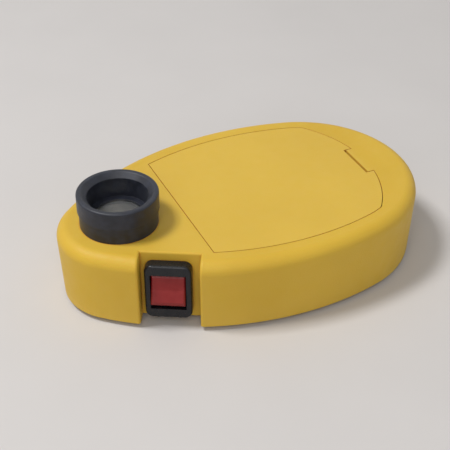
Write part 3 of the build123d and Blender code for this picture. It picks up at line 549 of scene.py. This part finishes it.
def window_plastic():
    """Clear moulded plastic, a little cloudy."""
    finish, shader, coords = new_finish("window_plastic")
    links = finish.node_tree.links
    cloud = noise(finish, coords, CLOUD_GRAIN, detail=3)
    tints = [(0.3, (0.90, 0.92, 0.92)), (0.7, (0.96, 0.97, 0.97))]
    links.new(ramp(finish, cloud, tints), shader.inputs["Base Color"])
    links.new(spread(finish, cloud, 0.10, 0.2), shader.inputs["Roughness"])
    shader.inputs["Transmission Weight"].default_value = WINDOW_CLEAR
    shader.inputs["IOR"].default_value = WINDOW_IOR
    bump(finish, shader, noise(finish, coords, RIPPLE_SIZE), RIPPLE_DEPTH)
    return finish


window_finish = window_plastic()
print("made", window_finish.name)

# %% [markdown]
# ## Wire insulation
# Soft plastic insulation is a little shiny and picks up grime where it was handled.
# The two colours share a function, as the smooth plastics do, with a softer grain.

# %% Wires
wire_red = smooth_plastic("red_insulation", (0.40, 0.02, 0.018), 0.36, 0.00002)
wire_black = smooth_plastic("black_insulation", (0.016, 0.016, 0.018), 0.38, 0.00002)
print("made", wire_red.name, wire_black.name)

# %% [markdown]
# ## Dressing the pieces
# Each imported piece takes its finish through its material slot, and its mesh stays as it
# is. A table of finish and pieces reads better than forty assignments, and a check at
# the end shows that none was forgotten.

# %% Assign the finishes
dressing = [
    (housing_finish, ["top_shell", "base_plate", "battery_cover"]),
    (rubber_finish, ["egg_cup", "rubber_feet"]),
    (switch_black, ["switch_body"]),
    (switch_red, ["switch_rocker"]),
    (tray_black, ["battery_tray", "lamp_holder"]),
    (screw_zinc, ["base_screws", "tray_screws", "board_screws", "holder_screws"]),
    (nickel, [name for name in nodes if name.startswith(("spring_", "contact_"))]),
    (brass, ["switch_plunger", "switch_lever", "switch_terminals"]),
    (mirror_metal, ["reflector"]),
    (resistor_finish, ["dropper_resistor"]),
    (light_finish, ["led_emitter"]),
    (driver_finish, ["driver_board"]),
    (lamp_board_finish, ["led_board"]),
    (window_finish, ["lens_window"]),
    (wire_red, ["wire_battery_switch", "wire_switch_board", "wire_led_positive"]),
    (wire_black, ["wire_battery_board", "wire_led_negative"]),
] + [(cell_finishes[cell], [cell]) for cell in cell_finishes]
dressed = []
for finish, names in dressing:
    for name in names:
        nodes[name].data.materials.clear()
        nodes[name].data.materials.append(finish)
        dressed.append(name)
print("dressed", len(dressed), "of", len(nodes), "left:", sorted(set(nodes) - set(dressed)))

# %% [markdown]
# ## Solder joints
# The wires are held on the two boards by solder, which climbs a wire in a hollow curve
# and freezes bright. A cone would be quicker, but the hollow curve is what makes it look
# like solder. So its outline is a short curve that bmesh spins round the wire. The
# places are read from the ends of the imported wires, so the joints always meet them.

# %% Solder joints
SOLDER_FOOT = 1.15 * MM
SOLDER_NECK = 0.72 * MM
SOLDER_HEIGHT = 1.1 * MM
SOLDER_STEPS = 6
SOLDER_SIDES = 20
END_REACH = 0.1 * MM
MERGE_REACH = 0.01 * MM
solder = drawn_metal("solder", (0.74, 0.74, 0.75), (0.55, 0.55, 0.56), 0.22, (1, 1, 1))


def wire_end(wire, face_height):
    """The middle of a wire's end on a level face."""
    points = [vertex.co for vertex in nodes[wire].data.vertices]
    near = [point for point in points if abs(point.z - face_height) < END_REACH]
    return sum(near, Vector()) / len(near)


def solder_joint(name, foot, way):
    """Solder that climbs up (way 1) or down (way -1) a wire from its foot."""
    outline = [Vector((0, 0, 0))]
    for step in range(SOLDER_STEPS + 1):
        share = step / SOLDER_STEPS
        radius = SOLDER_NECK + (SOLDER_FOOT - SOLDER_NECK) * (1 - share) ** 2
        outline.append(Vector((radius, 0, way * SOLDER_HEIGHT * share)))
    outline.append(Vector((0, 0, way * SOLDER_HEIGHT)))
    spun = bmesh.new()
    points = [spun.verts.new(point) for point in outline]
    lines = [spun.edges.new(pair) for pair in zip(points, points[1:])]
    bmesh.ops.spin(
        spun, geom=points + lines, cent=(0, 0, 0), axis=(0, 0, 1), angle=math.tau, steps=SOLDER_SIDES
    )
    bmesh.ops.remove_doubles(spun, verts=spun.verts, dist=MERGE_REACH)
    bmesh.ops.recalc_face_normals(spun, faces=spun.faces)
    mesh = bpy.data.meshes.new(name)
    spun.to_mesh(mesh)
    spun.free()
    mesh.shade_smooth()
    mesh.materials.append(solder)
    joint = bpy.data.objects.new(name, mesh)
    bpy.context.scene.collection.objects.link(joint)
    joint.location = foot
    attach(joint, "housing")


board_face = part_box("driver_board")[1].z
lamp_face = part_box("led_board")[0].z
for wire in ("wire_switch_board", "wire_battery_board", "wire_led_negative", "wire_led_positive"):
    end = wire_end(wire, board_face)
    solder_joint(f"solder_{wire}_on_driver", (end.x, end.y, board_face), 1)
for wire in ("wire_led_negative", "wire_led_positive"):
    end = wire_end(wire, lamp_face)
    solder_joint(f"solder_{wire}_on_lamp", (end.x, end.y, lamp_face), -1)
print("solder joints on faces at mm:", round(board_face / MM, 2), round(lamp_face / MM, 2))
